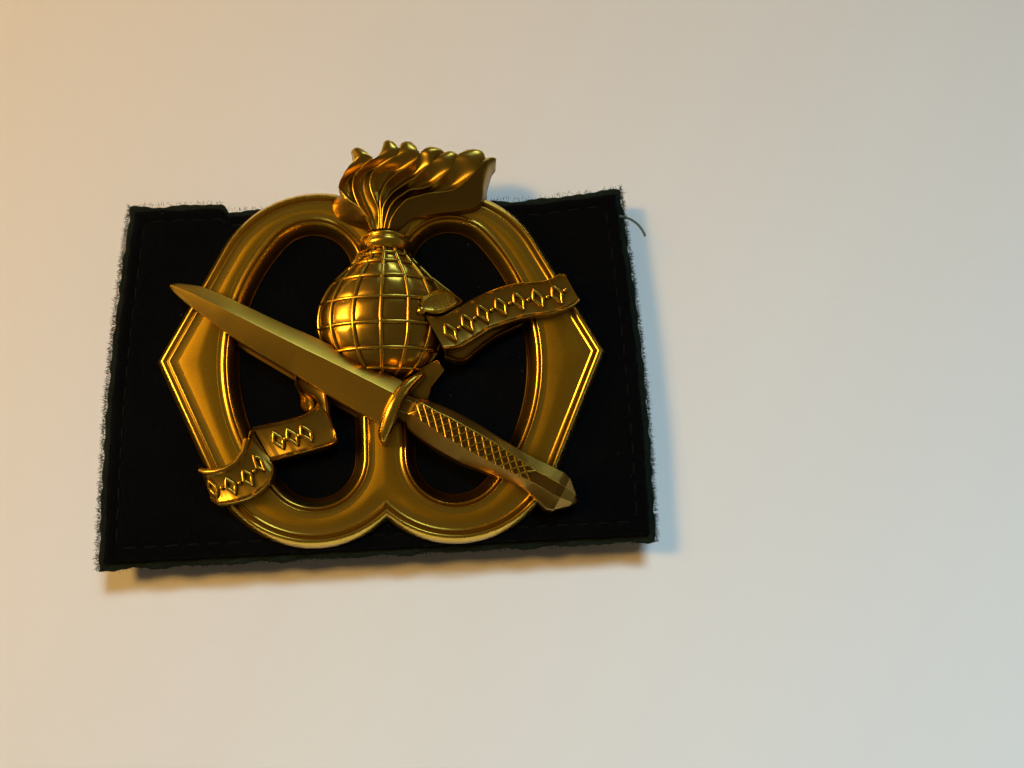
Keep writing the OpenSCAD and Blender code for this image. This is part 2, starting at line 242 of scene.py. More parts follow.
class Finish:
    """A node material in the making."""

    def __init__(self, name):
        self.material = bpy.data.materials.new(name)
        self.material.use_nodes = True
        self.tree = self.material.node_tree
        self.tree.nodes.clear()
        self.place = self.node("ShaderNodeTexCoord", {}, {}, "Object")

    def node(self, kind, settings, inputs, output=0):
        """Adds a node, with its settings first and then the values or links of its sockets."""
        made = self.tree.nodes.new(kind)
        for key, value in settings.items():
            setattr(made, key, value)
        for key, value in inputs.items():
            if isinstance(value, Value):
                self.tree.links.new(value.socket, made.inputs[key])
            else:
                made.inputs[key].default_value = value
        return Value(self, made.outputs[output]) if made.outputs else None

    def turned(self, angle, scale):
        """Place turned by degrees and then stretched."""
        return self.node("ShaderNodeMapping", {"vector_type": "POINT"},
                         {"Vector": self.place, "Rotation": tuple(map(math.radians, angle)), "Scale": scale})

    def noise(self, size, detail=3.0, rough=0.5, twist=0.0, place=None):
        """Cloudy pattern with patches of about size millimetres."""
        return self.node("ShaderNodeTexNoise", {},
                         {"Vector": place or self.place, "Scale": 1 / (size * MM), "Detail": detail,
                          "Roughness": rough, "Distortion": twist}, "Fac")

    def cells(self, size, feature="F1", place=None):
        """Distance to points or borders of cells of about size millimetres."""
        return self.node("ShaderNodeTexVoronoi", {"feature": feature},
                         {"Vector": place or self.place, "Scale": 1 / (size * MM)}, "Distance")

    def openness(self, reach):
        """How much of the sky a point sees within reach millimetres."""
        return self.node("ShaderNodeAmbientOcclusion", {"samples": 8}, {"Distance": reach * MM}, "AO")

    def mix(self, share, a, b):
        return self.node("ShaderNodeMix", {"data_type": "RGBA"}, {0: share, 6: a, 7: b}, 2)

    def bump(self, height, depth, strength):
        return self.node("ShaderNodeBump", {}, {"Height": height, "Distance": depth * MM, "Strength": strength})

    def surface(self, **inputs):
        shader = self.node("ShaderNodeBsdfPrincipled", {}, {k.replace("_", " "): v for k, v in inputs.items()})
        self.node("ShaderNodeOutputMaterial", {}, {"Surface": shader})
        return self.material


def colour(r, g, b):
    return (r, g, b, 1.0)


def brass_finish(name, bright, deep, grain=0.0, gloss=0.3, patina=1.0):
    """Struck brass: polished high spots, brown patina in the hollows, browner low down, fine scratches and specks."""
    f = Finish(name)
    clouds = f.noise(2.6, 4, 0.6)
    fine = f.noise(0.16, 3, 0.6)
    brushed = f.noise(0.09, 2, 0.5, place=f.turned((0, 0, 24), (0.06, 1, 0.3)))
    brushed_across = f.noise(0.08, 2, 0.5, place=f.turned((0, 0, -52), (0.05, 1, 0.3)))
    specks = f.cells(0.9).between(0.1, 0.04) * f.noise(3.1, 2).between(0.52, 0.6)
    hollow = (1 - f.openness(1.1)).between(0.12, 0.85)
    crevice = (1 - f.openness(0.35)).between(0.3, 0.9)
    # The metal is browner towards its foot.
    level = f.node("ShaderNodeSeparateXYZ", {}, {0: f.place}, "Z")
    skirt = level.between((FELT_TOP + 1.25) * MM, (FELT_TOP + 0.4) * MM)
    stain = (hollow * 0.65 + crevice * 0.5 + skirt * 0.7) * patina
    dulled = colour(bright[0] * 0.8, bright[1] * 0.72, bright[2] * 0.55)
    body = f.mix(clouds.between(0.35, 0.7) * 0.45, colour(*bright), dulled)
    grime = (stain + fine.between(0.45, 0.75) * (0.12 + grain * 0.16)).maths("MINIMUM", 1.0)
    body = f.mix(grime, body, colour(*deep))
    body = f.mix(specks * 0.7, body, colour(0.10, 0.05, 0.02))
    scratch = brushed.between(0.6, 0.78) + brushed_across.between(0.62, 0.8)
    rough = gloss + clouds.between(0.3, 0.75) * 0.06 + scratch * 0.04 + stain * 0.12 + specks * 0.15
    height = fine * 0.22 + brushed * 0.22 + brushed_across * 0.15 + f.noise(0.9, 2) * (0.5 + grain)
    return f.surface(Base_Color=body, Metallic=1.0, Roughness=rough, Normal=f.bump(height, 0.01, 0.4))


BRASS = brass_finish("struck_brass", (0.80, 0.54, 0.07), (0.12, 0.055, 0.010), gloss=0.25)
BRASS_PANEL = brass_finish("struck_brass_panel", (0.76, 0.48, 0.035), (0.18, 0.085, 0.008), grain=0.7, gloss=0.33)
BRASS_DARK = brass_finish("struck_brass_shaded", (0.56, 0.37, 0.055), (0.09, 0.043, 0.009), gloss=0.27, patina=1.2)
# The darkest copy of the brass, with deep shade painted into its colour, for the grip and the flame's outer leaves.
BRASS_DEEP_SHADE = brass_finish("struck_brass_deep_shade", (0.33, 0.205, 0.038), (0.08, 0.036, 0.008), gloss=0.28, patina=1.2)
# The blade's brass is a darker copy, with shade painted into its colour.
BRASS_BLADE = brass_finish("struck_brass_blade", (0.58, 0.385, 0.055), (0.12, 0.058, 0.010), gloss=0.33)


def wire_finish(name, tone, gloss):
    """Drawn brass wire with dull patches of tarnish."""
    f = Finish(name)
    drawn = f.noise(0.1, 2, place=f.turned((0, 0, 0), (0.08, 1, 1)))
    tarnish = f.noise(0.8, 3, 0.6).between(0.45, 0.7)
    body = f.mix(tarnish * 0.6, colour(*tone), colour(tone[0] * 0.4, tone[1] * 0.33, tone[2] * 0.3))
    return f.surface(Base_Color=body, Metallic=1.0, Roughness=gloss + tarnish * 0.18 + drawn * 0.06,
                     Normal=f.bump(drawn + tarnish * 0.4, 0.01, 0.4))


def solder_finish():
    """Dull, lumpy soft solder."""
    f = Finish("solder")
    lumps = f.noise(0.35, 3)
    body = f.mix(lumps.between(0.4, 0.7), colour(0.42, 0.41, 0.39), colour(0.2, 0.19, 0.17))
    return f.surface(Base_Color=body, Metallic=1.0, Roughness=0.35 + lumps * 0.2, Normal=f.bump(lumps, 0.05, 0.8))


def wool_finish(name, dark, light, lint=0.0):
    """Pressed wool: matted fibres, slow clouds and, where lint is given, a few pale specks."""
    f = Finish(name)
    matted = f.noise(0.22, 5, 0.65, 0.8)
    tufts = f.noise(0.75, 3, 0.6, 0.4)
    clouds = f.noise(6, 2)
    hairs = f.cells(0.28, "DISTANCE_TO_EDGE", place=f.turned((12, 20, 40), (1, 0.35, 1))).between(0.08, 0.0)
    pale = (matted.between(0.4, 0.75) * 0.6 + hairs * 0.25 + clouds.between(0.45, 0.75) * 0.3).maths("MINIMUM", 1.0)
    body = f.mix(pale, colour(*dark), colour(*light))
    if lint:
        specks = f.cells(1.3).between(0.07, 0.03) * f.noise(4.1, 2).between(0.5, 0.58)
        body = f.mix(specks * lint, body, colour(0.12, 0.12, 0.13))
    height = matted * 0.7 + tufts * 0.9 + hairs * 0.2
    return f.surface(Base_Color=body, Roughness=0.95, Specular_IOR_Level=0.05, Sheen_Weight=0.008,
                     Sheen_Roughness=0.5, Normal=f.bump(height, 0.16, 0.9))


FELT = wool_finish("black_felt", (0.0011, 0.0013, 0.0017), (0.0038, 0.0043, 0.0051), lint=0.3)
GREEN = wool_finish("green_cloth", (0.007, 0.011, 0.007), (0.024, 0.034, 0.022))


def thread_finish(name, dark, light):
    """Twisted yarn, with its plies seen as slanting bands."""
    f = Finish(name)
    ply = f.node("ShaderNodeTexWave", {"wave_type": "BANDS", "bands_direction": "DIAGONAL"},
                 {"Vector": f.place, "Scale": 2200.0, "Distortion": 1.5, "Detail": 2.0}, "Fac")
    body = f.mix(ply, colour(*dark), colour(*light))
    return f.surface(Base_Color=body, Roughness=0.85, Specular_IOR_Level=0.08, Sheen_Weight=0.01,
                     Normal=f.bump(ply, 0.03, 0.6))


BLACK_THREAD = thread_finish("black_thread", (0.002, 0.002, 0.0022), (0.007, 0.007, 0.0075))
GREEN_THREAD = thread_finish("green_thread", (0.05, 0.08, 0.06), (0.16, 0.21, 0.16))
GREEN_FIBRE = thread_finish("green_fibre", (0.009, 0.014, 0.009), (0.027, 0.038, 0.025))
BLACK_FIBRE = thread_finish("black_fibre", (0.003, 0.003, 0.0032), (0.012, 0.012, 0.013))

for nodes, finish in ((("loop_left", "loop_right"), wire_finish("loop_wire", (0.62, 0.42, 0.15), 0.3)),
                      (("split_pin",), wire_finish("pin_wire", (0.72, 0.55, 0.24), 0.26)),
                      (("solder_left", "solder_right"), solder_finish()),
                      (("thread_tail",), GREEN_THREAD)):
    for node in nodes:
        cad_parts[node].data.materials.clear()
        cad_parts[node].data.materials.append(finish)


# ---------------------------------------------------------------- frame of the badge

# Each half of the outline is two arcs, at the top and at the bottom, with straight sides running to the point.
TIP = Vector((22.5, 0))
UP_C, UP_R = Vector((6.3, 6.0)), 11.2
LOW_C, LOW_R = Vector((7.0, -7.9)), 11.0
# Each opening has a small arc at each end, a long arc on its outer side and a straight inner side.
HOLE_UP, HOLE_LOW, HOLE_R = Vector((6.9, 8.9)), Vector((6.9, -10.1)), 3.85
SIDE_C, SIDE_R = Vector((-3.64, -0.6)), 18.04


def touching(centre, radius, sign):
    """Where on an arc the line from the point touches it, in degrees."""
    return bearing(TIP - centre) + sign * math.degrees(math.acos(radius / (TIP - centre).length))


TOUCH_LOW, TOUCH_UP = touching(LOW_C, LOW_R, -1), touching(UP_C, UP_R, 1)
N_LOW, N_UP = direction(TOUCH_LOW), direction(TOUCH_UP)


def frame_line(depth):
    """The badge's outline moved inwards."""
    low, up = LOW_R - depth, UP_R - depth
    half = arc(LOW_C, low, -180 + math.degrees(math.acos(LOW_C.x / low)), TOUCH_LOW)
    half.append(TIP - depth * (N_LOW + N_UP) / (1 + N_LOW.dot(N_UP)))
    half += arc(UP_C, up, TOUCH_UP, 180 - math.degrees(math.acos(UP_C.x / up)))
    return half + [Vector((-p.x, p.y)) for p in reversed(half[1:-1])]


def opening_line(depth, side=1):
    """One opening's outline moved outwards."""
    low, up = bearing(HOLE_LOW - SIDE_C), bearing(HOLE_UP - SIDE_C)
    line = arc(HOLE_LOW, HOLE_R + depth, -180, low) + arc(SIDE_C, SIDE_R + depth, low, up)[1:-1]
    line += arc(HOLE_UP, HOLE_R + depth, up, 180)
    straight = [line[-1].lerp(line[0], k / 16) for k in range(1, 16)]
    return [Vector((p.x * side, p.y)) for p in line + straight]


def depth_in_frame(p):
    """Distance from the badge's outline, inwards."""
    x = Vector((abs(p.x), p.y))
    depth = min((TIP - x).dot(N_LOW), (TIP - x).dot(N_UP))
    for centre, radius, start, end in ((LOW_C, LOW_R, -180 + math.degrees(math.acos(LOW_C.x / LOW_R)), TOUCH_LOW),
                                       (UP_C, UP_R, TOUCH_UP, 180 - math.degrees(math.acos(UP_C.x / UP_R)))):
        if start <= bearing(x - centre) <= end:
            depth = min(depth, radius - (x - centre).length)
        else:
            notch = centre + radius * direction(start if centre is LOW_C else end)
            depth = min(depth, (x - notch).length)
    return depth


def depth_from_opening(p):
    """Distance from the nearest opening, outwards."""
    x = Vector((abs(p.x), p.y))
    low, up = bearing(HOLE_LOW - SIDE_C), bearing(HOLE_UP - SIDE_C)
    if low <= bearing(x - SIDE_C) <= up and (x - SIDE_C).length > 12:
        return (x - SIDE_C).length - SIDE_R
    if HOLE_LOW.y <= x.y <= HOLE_UP.y:
        return max(HOLE_UP.x - HOLE_R - x.x, (x - SIDE_C).length - SIDE_R)
    centre = HOLE_UP if x.y > HOLE_UP.y else HOLE_LOW
    return (x - centre).length - HOLE_R


# Sections of the rims: distance in from the edge, and height.
OUTER_RIM = [(0.0, 0.0), (0.03, 0.35), (0.12, 0.7), (0.3, 1.15), (0.5, 1.48), (0.68, 1.6), (0.84, 1.52), (0.98, 1.34),
             (1.12, 1.42), (1.22, 1.6), (1.31, 1.63), (1.42, 1.55), (1.55, 1.53), (1.85, 1.53), (2.15, 1.53),
             (2.3, 1.3)]
INNER_RIM = [(0.0, 0.15), (0.1, 0.28), (0.24, 0.22), (0.34, 0.4), (0.55, 0.85), (0.75, 1.22), (0.92, 1.48),
             (1.06, 1.6), (1.16, 1.5), (1.25, 1.4), (1.34, 1.52), (1.44, 1.63), (1.55, 1.56), (1.68, 1.53),
             (1.85, 1.53), (2.1, 1.53), (2.25, 1.3)]


def rim(name, profile, *lines):
    """Moulded rim along each line, which is a function of the distance from its edge."""
    bm = bmesh.new()
    section = smooth_line(profile, 3)
    reach = profile[-1][0]
    section += [Vector((reach, 0.8)), Vector((reach * 0.6, 0.8)), Vector((0.55, 0.2)), Vector((0.5, 0.0))]
    section.append(section[0])
    for line in lines:
        loft(bm, [[(p.x, p.y, z) for p in line(d)] for d, z in section], capped=False)
    return brass_piece(name, bm, BRASS)


outer_rim = rim("outer_rim", OUTER_RIM, frame_line)
rim("opening_rims", INNER_RIM, opening_line, lambda depth: opening_line(depth, -1))

bm = bmesh.new()
PANEL_W, PANEL_H, PANEL_MIDDLE, PANEL_STEP = 46, 40, -0.8, 0.22
PANEL_FOOT, PANEL_CROWN, RIM_COVER = 1.5, 0.3, 1.8
bmesh.ops.create_grid(bm, x_segments=int(PANEL_W / PANEL_STEP), y_segments=int(PANEL_H / PANEL_STEP), size=0.5)
outside = []
for v in bm.verts:
    p = Vector((v.co.x * PANEL_W, v.co.y * PANEL_H + PANEL_MIDDLE))
    inner = min(depth_in_frame(p), depth_from_opening(p)) - RIM_COVER
    v.co = (p.x, p.y, PANEL_FOOT + PANEL_CROWN * (1 - math.exp(-inner / 1.6)))
    if inner <= 0:
        outside.append(v)
bmesh.ops.delete(bm, geom=outside, context="VERTS")
bmesh.ops.solidify(bm, geom=bm.faces[:], thickness=0.5)
brass_piece("frame_panel", bm, BRASS_PANEL)


# ---------------------------------------------------------------- grenade

# place along the grenade, half width, height
GRENADE = [(-2.92, 0.35, 0.3), (-2.6, 1.9, 1.6), (-1.9, 3.45, 2.85), (-0.8, 4.8, 4.0), (0.6, 5.75, 4.75),
           (2.1, 6.33, 5.18), (3.6, 6.5, 5.3), (5.1, 6.36, 5.25), (6.4, 5.85, 5.08), (7.4, 5.2, 4.82),
           (8.2, 4.5, 4.52), (9.2, 3.45, 4.14), (10.0, 2.7, 3.85), (10.7, 2.3, 3.7), (11.4, 2.2, 3.6)]
GRENADE_LINE = smooth_line(GRENADE, 6)


def grenade_skin(y, degrees, proud=0.0):
    """Point on the grenade at y along it and degrees round it. Its neck leans a little to the right."""
    w, h = read_off(GRENADE_LINE, y, 1) + proud, read_off(GRENADE_LINE, y, 2) + proud
    lean = -0.1 + 0.55 * max(0.0, (y - 3.6) / 7.4)
    return Vector((lean + w * math.cos(math.radians(degrees)), y, max(0.1, h * math.sin(math.radians(degrees)))))


# The lattice's lines across the grenade, and along it.
PARALLELS = (10.0, 9.1, 7.5, 5.25, 2.75, 0.3, -1.5)
MERIDIANS = [89.5 + 24.5 * k for k in range(-3, 4)]


def pillow(y, degrees):
    """Swelling of the ball's face inside each mesh of the lattice."""
    round_way = min(abs(degrees - m) for m in MERIDIANS) * math.radians(1) * read_off(GRENADE_LINE, y, 1)
    gap = min(round_way, min(abs(y - p) for p in PARALLELS))
    return 0.09 * (1 - math.exp(-((gap / 0.4) ** 2))) - 0.03


FOOT_Y, GRENADE_RUN, ROWS, ROUND = -2.92, 14.3, 110, 120
bm = bmesh.new()
rows = []
for i in range(ROWS + 1):
    y = FOOT_Y + GRENADE_RUN * i / ROWS
    rows.append([grenade_skin(y, a, pillow(y, a)) for a in (180 * k / ROUND for k in range(ROUND + 1))])
loft(bm, rows)
brass_piece("grenade_body", bm, BRASS_DARK, crease=60)

LATTICE_R, LATTICE_PROUD = 0.2, 0.04
bm = bmesh.new()
for y in PARALLELS:
    tube(bm, [grenade_skin(y, 6 + 168 * k / 40, LATTICE_PROUD) for k in range(41)], LATTICE_R)
for degrees in MERIDIANS:
    tube(bm, [grenade_skin(-2.6 + 13.1 * i / 44, degrees, LATTICE_PROUD) for i in range(45)], LATTICE_R)
brass_piece("grenade_lattice", bm, BRASS, crease=70)

# place along the neck, half width, height
COLLAR = smooth_line([(10.2, 2.1, 3.1), (10.32, 2.5, 3.65), (10.65, 2.78, 4.1), (11.05, 2.85, 4.3),
                      (11.4, 2.78, 4.22), (11.62, 2.62, 4.05), (11.78, 2.66, 4.1), (11.95, 2.62, 4.1),
                      (12.1, 2.45, 3.9), (12.2, 2.0, 3.4)], 4)
HALF_TURN = [math.pi * k / 32 for k in range(33)]
bm = bmesh.new()
loft(bm, [[(0.42 + 0.02 * (y - 11) + w * math.cos(a), y + 0.12 * math.sin(a), h * math.sin(a) + 0.1)
           for a in HALF_TURN] for y, w, h in COLLAR])
brass_piece("grenade_collar", bm, BRASS)

bm = bmesh.new()
plate(bm, [(3.2, 9.6), (2.6, 7.4), (4.2, 5.5), (6.0, 4.4), (8.2, 5.4), (6.8, 6.6), (4.9, 8.2)], 1.25, 0.3)
plate(bm, [(6.1, -1.6), (4.7, -3.3), (4.3, -4.7), (3.0, -4.4), (1.6, -3.3), (3.6, -1.3), (5.4, -0.5)], 1.5, 0.3)
plate(bm, [(-2.6, 10.2), (-3.6, 8.6), (-1.8, 8.0), (2.0, 8.0), (3.6, 9.0), (2.7, 10.4), (2.2, 12.2), (-1.4, 12.2)],
      1.7, 0.3, 0.3)
brass_piece("grenade_webs", bm, BRASS_DARK)


# ---------------------------------------------------------------- flames

# The creases between the flame's tongues, from its left edge to its right.
LOW_LEFT = [(-1.0, 12.4), (-2.2, 12.9), (-3.5, 13.5), (-4.5, 14.1), (-4.9, 15.1), (-4.8, 15.9), (-4.5, 16.4),
            (-4.0, 16.7)]
FIRST = [(-0.8, 12.6), (-1.2, 13.6), (-1.7, 14.4), (-2.3, 15.0), (-3.0, 15.5), (-3.5, 16.1), (-3.9, 16.6)]
SECOND = [(-0.8, 12.6), (-1.6, 14.2), (-2.2, 15.3), (-2.6, 16.7), (-2.5, 17.9), (-1.9, 18.8), (-0.8, 19.6)]
THIRD = [(-0.1, 12.7), (-0.1, 14.4), (-0.4, 15.4), (-0.7, 16.2), (-0.9, 17.1), (-0.8, 17.9), (-0.5, 18.5),
         (0.2, 19.0), (1.1, 19.6), (1.8, 20.1), (2.0, 20.8)]
FOURTH = [(0.1, 12.7), (0.1, 14.4), (0.1, 15.6), (0.4, 16.6), (0.8, 17.3), (1.4, 17.9), (2.2, 18.5), (3.0, 18.9),
          (3.6, 19.4), (4.1, 20.1)]
FIFTH = [(0.2, 12.7), (0.3, 14.4), (0.6, 15.3), (1.3, 16.2), (2.1, 16.8), (3.0, 17.4), (3.8, 17.9), (4.6, 18.6),
         (5.3, 19.3), (5.9, 20.0), (6.5, 20.4)]
SIXTH = [(0.4, 12.7), (0.9, 14.5), (1.5, 15.4), (2.3, 16.0), (3.1, 16.5), (4.1, 16.6), (5.1, 16.9), (5.9, 17.4),
         (6.6, 18.0), (7.2, 18.7), (7.6, 19.4), (8.0, 20.1)]
SEVENTH = [(0.9, 12.7), (1.1, 13.5), (1.5, 14.2), (2.0, 14.8), (2.8, 15.5), (3.9, 15.8), (5.1, 16.1), (6.3, 16.2),
           (7.3, 16.4), (8.1, 16.8), (8.9, 17.4), (9.6, 18.2), (10.0, 18.9), (10.5, 19.6)]
LOW_RIGHT = [(1.6, 12.6), (2.4, 13.3), (3.2, 13.9), (4.4, 14.1), (6.0, 14.3), (8.1, 14.5), (9.4, 14.8), (10.2, 15.4),
             (10.5, 16.5), (10.6, 17.3), (10.9, 18.3), (11.3, 19.2), (11.9, 19.8)]
# Each tongue's left edge, right edge, how low the two edges lie, how far the right side's foot stands out, and how
# hollow the face is.
TONGUES = [
    (LOW_LEFT, FIRST, 2.0, 0.0, 0.0, -0.25),
    (FIRST + [(-4.05, 17.1), (-3.6, 18.2), (-3.0, 19.1), (-2.5, 19.7), (-2.55, 20.3), (-2.75, 20.8), (-2.5, 21.15)],
     SECOND + [(-0.6, 19.85), (-1.0, 20.3), (-1.5, 20.8), (-2.0, 21.15), (-2.5, 21.15)], 0.1, 0.0, 0.0, 1),
    (SECOND + [(0.0, 20.1), (0.3, 20.6), (0.45, 21.2), (0.6, 21.8), (0.95, 21.95)],
     THIRD + [(1.9, 21.1), (1.5, 21.7), (0.95, 21.95)], 0.0, 0.0, 0.0, 1),
    (THIRD + [(2.1, 21.0), (2.3, 21.5), (2.75, 21.75)],
     FOURTH + [(4.0, 20.6), (3.65, 21.2), (3.2, 21.7), (2.75, 21.75)], 0.0, 0.0, 0.0, 1),
    (FOURTH + [(4.5, 20.65), (5.1, 21.0), (5.9, 21.0), (6.4, 20.85)],
     FIFTH + [(6.6, 20.6), (6.4, 20.85)], 0.0, 0.0, 0.0, 1),
    (FIFTH + [(6.8, 20.6), (7.2, 20.6)], SIXTH + [(7.85, 20.35), (7.55, 20.6), (7.2, 20.6)], 0.0, 0.0, 0.0, 1),
    (SIXTH + [(8.4, 20.4), (9.1, 20.75), (9.9, 20.75)],
     SEVENTH + [(10.75, 20.0), (10.5, 20.55), (9.9, 20.75)], 0.0, 0.0, 0.0, 1),
    (SEVENTH + [(10.9, 19.75), (11.4, 19.95), (11.9, 19.85)], LOW_RIGHT, 0.0, 0.95, 0.5, 0.15)]
FLAME_FOOT, FLAME_RISE = 2.85, 0.45


def tongue(bm, left, right, left_low, right_low, spread, hollow):
    """One tongue of the flame, hollow between its edges and running out to a rounded tip."""
    a_line, b_line = evenly(smooth_line(left, 6), 44), evenly(smooth_line(right, 6), 44)
    rows = []
    for i, (a, b) in enumerate(zip(a_line, b_line)):
        s = i / 43
        width = max((b - a).length, 0.02)
        across = (b - a) / width if (b - a).length > 0.02 else Vector((1, 0))
        rise = min(1, s / 0.3)
        tip = max(0.0, (s - 0.78) / 0.22)
        crest = FLAME_FOOT + FLAME_RISE * rise - 0.75 * tip ** 2
        fade = max(0.0, min(1.0, (s - 0.62) / 0.22))
        depth = hollow * min(0.95, 0.75 * width) * (0.35 + 0.65 * rise) * (1 - fade) - min(0.3, 0.35 * width) * fade
        z_a, z_b = crest - left_low, crest - right_low * (1 - tip)
        row = [(a - across * 0.07, 0.4), (a - across * 0.07, z_a - 0.45), (a - across * 0.04, z_a - 0.14)]
        for t in (0, 0.06, 0.14, 0.25, 0.38, 0.5, 0.62, 0.75, 0.86, 0.94, 1):
            row.append((a.lerp(b, t), z_a + (z_b - z_a) * t - depth * math.sin(math.pi * t) ** 0.7))
        row += [(b + across * 0.04, z_b - 0.14), (b + across * (0.07 + spread * 0.3), z_b - 0.55),
                (b + across * (0.07 + spread), 0.4)]
        rows.append([(p.x, p.y, z) for p, z in row])
    loft(bm, rows)


# The flame's outer leaves have deep shade painted into their brass.
for name, some, finish in (("flame_tongues", TONGUES[1:-1], BRASS_DARK),
                           ("flame_outer_leaves", TONGUES[:1] + TONGUES[-1:], BRASS_DEEP_SHADE)):
    bm = bmesh.new()
    for leaf in some:
        tongue(bm, *leaf)
    brass_piece(name, bm, finish, crease=42)

bm = bmesh.new()
for line in (FIRST, SECOND, THIRD, FOURTH, FIFTH, SIXTH, SEVENTH):
    run = evenly(smooth_line(line, 6), 40)
    heights = [FLAME_FOOT + FLAME_RISE * min(1, k / 39 / 0.28) - 0.25 * (k / 39) ** 4 for k in range(40)]
    tube(bm, [(p.x, p.y, z) for p, z in zip(run, heights)], [0.09 - 0.04 * (k / 39) ** 3 for k in range(40)], 6)
brass_piece("flame_ridges", bm, BRASS, crease=70)

bm = bmesh.new()
plate(bm, smooth_line([(-1.0, 12.3), (2.3, 12.3), (3.3, 13.7), (5.2, 14.2), (8.1, 14.6), (9.8, 15.2), (10.3, 16.2),
                       (10.3, 17.6), (8.0, 18.4), (5.0, 18.4), (1.5, 18.6), (-1.5, 18.4), (-3.4, 17.8),
                       (-4.0, 16.8), (-4.5, 15.6), (-4.2, 14.3), (-2.4, 13.2)], 5, ring=True), 1.7, 0.4, 0.3)
brass_piece("flame_root", bm, BRASS_DARK)


# ---------------------------------------------------------------- dagger

DAGGER_AT, DAGGER_TURN = Vector((-1.2, -3.85)), -29.3
ALONG = direction(DAGGER_TURN)
OVER = Vector((-ALONG.y, ALONG.x))


def on_dagger(u, v, z):
    """Point u along the dagger from its middle and v across it."""
    p = DAGGER_AT + ALONG * u + OVER * v
    return Vector((p.x, p.y, z))


# place along the blade, lower edge, upper edge, ridge, height of the edges, height of the ridge, foot
BLADE = [(-22.9, 0.12, 0.55, 0.33, 1.35, 1.5, 0.9), (-22.4, -0.08, 0.85, 0.37, 1.5, 1.85, 0.85),
         (-21.4, -0.36, 1.2, 0.42, 1.75, 2.3, 0.8), (-20.0, -0.68, 1.6, 0.45, 2.1, 2.85, 0.6),
         (-18.2, -0.98, 1.74, 0.45, 2.45, 3.35, 0.4), (-16.4, -1.26, 1.82, 0.45, 2.7, 3.75, 0.3),
         (-13.4, -1.62, 1.9, 0.46, 2.95, 4.08, 0.3), (-10.4, -1.8, 2.02, 0.5, 3.05, 4.25, 0.3),
         (-7.6, -1.96, 2.22, 0.55, 3.05, 4.3, 0.3), (-3.0, -2.3, 2.34, 0.68, 3.05, 4.3, 0.3),
         (2.6, -2.4, 2.4, 0.75, 3.05, 4.3, 0.3)]
bm = bmesh.new()
rows = []
for u, low, up, mid, edge, top, foot in smooth_line(BLADE, 5):
    flange = 0.32 * min(1, max(0, (u + 17) / 2))
    rows.append([on_dagger(u, v, z) for v, z in (
        (low - flange, foot - 0.1), (low - flange, foot + 0.12), (low - 0.1 * flange, foot + 0.2), (low, foot + 0.4),
        (low, edge - 0.3), (low + 0.03, edge - 0.1), (low + 0.12, edge), (mid - 0.1, top - 0.06), (mid, top),
        (mid + 0.1, top - 0.06), (up - 0.12, edge), (up - 0.03, edge - 0.1), (up, edge - 0.3), (up, foot + 0.3),
        (up + 0.3 * flange, foot + 0.15), (up + 0.3 * flange, foot - 0.1))])
loft(bm, rows)
brass_piece("dagger_blade", bm, BRASS_BLADE, crease=20)

# place across the blade, the guard's side towards the tip, its side towards the grip, height
GUARD = [(-4.15, 3.3, 3.5, 2.9), (-3.9, 2.95, 3.75, 3.5), (-3.3, 2.5, 3.75, 4.1), (-2.2, 2.2, 3.7, 4.6),
         (-1.1, 2.0, 3.6, 4.95), (0.3, 1.98, 3.4, 5.1), (1.6, 2.2, 3.45, 4.95), (2.8, 2.6, 3.65, 4.5),
         (3.6, 3.15, 3.85, 3.95), (4.15, 3.65, 3.9, 3.2)]
bm = bmesh.new()
rows = []
for v, outer, inner, top in smooth_line(GUARD, 4):
    middle, half = (outer + inner) / 2, (inner - outer) / 2
    rows.append([on_dagger(middle - half * math.cos(math.pi * k / 14), v,
                           0.3 if k in (0, 14) else top - 1.3 + 1.3 * math.sin(math.pi * k / 14) ** 0.8)
                 for k in range(15)])
loft(bm, rows)
brass_piece("dagger_guard", bm, BRASS, crease=60)

# place along the grip, lower edge, lower and upper border of the chequered face, upper edge, height of that face,
# height of the sides
GRIP = [(3.0, -1.05, -0.45, 0.75, 1.35, 4.1, 3.6), (3.9, -1.1, -0.4, 0.8, 1.4, 4.1, 3.6),
        (4.4, -1.2, -0.35, 0.9, 1.5, 4.2, 3.5), (4.8, -1.5, -0.3, 1.05, 1.65, 4.5, 3.4),
        (5.4, -1.7, -0.35, 1.05, 1.8, 4.6, 3.3), (6.6, -1.95, -0.5, 1.0, 2.0, 4.65, 3.2),
        (8.7, -2.15, -0.72, 1.05, 2.13, 4.7, 3.1), (11.0, -2.18, -0.82, 1.0, 2.08, 4.65, 3.1),
        (13.3, -1.85, -0.8, 0.9, 1.85, 4.6, 3.2), (16.2, -1.55, -0.75, 0.6, 1.68, 4.45, 3.3),
        (17.9, -1.65, -0.65, 0.4, 1.7, 4.35, 3.3), (19.3, -2.0, -0.7, 0.4, 1.74, 4.4, 3.3),
        (20.5, -2.35, -0.8, 0.35, 1.75, 4.45, 3.2)]
POMMEL = [(21.2, -2.15, -0.75, 0.35, 1.55, 4.2, 3.2), (22.5, -0.95, -0.5, 0.15, 0.5, 3.0, 2.4),
          (22.95, -0.35, -0.25, 0.0, 0.12, 2.2, 2.1)]
bm = bmesh.new()
rows = []
for u, low, a, b, up, top, edge in smooth_line(GRIP, 4) + [Vector(row) for row in POMMEL]:
    rows.append([on_dagger(u, v, z) for v, z in (
        (low, 0.3), (low, edge - 0.5), (low + 0.05, edge - 0.1), (low + 0.14, edge + 0.1), (a - 0.08, top - 0.1),
        (a, top), (a + 0.08, top), (b - 0.08, top), (b, top), (b + 0.08, top - 0.08), (up - 0.14, edge + 0.5),
        (up - 0.05, edge + 0.3), (up, edge), (up, 0.3))])
loft(bm, rows)
# The grip has deep shade painted into its brass.
brass_piece("dagger_grip", bm, BRASS_DEEP_SHADE, crease=16)

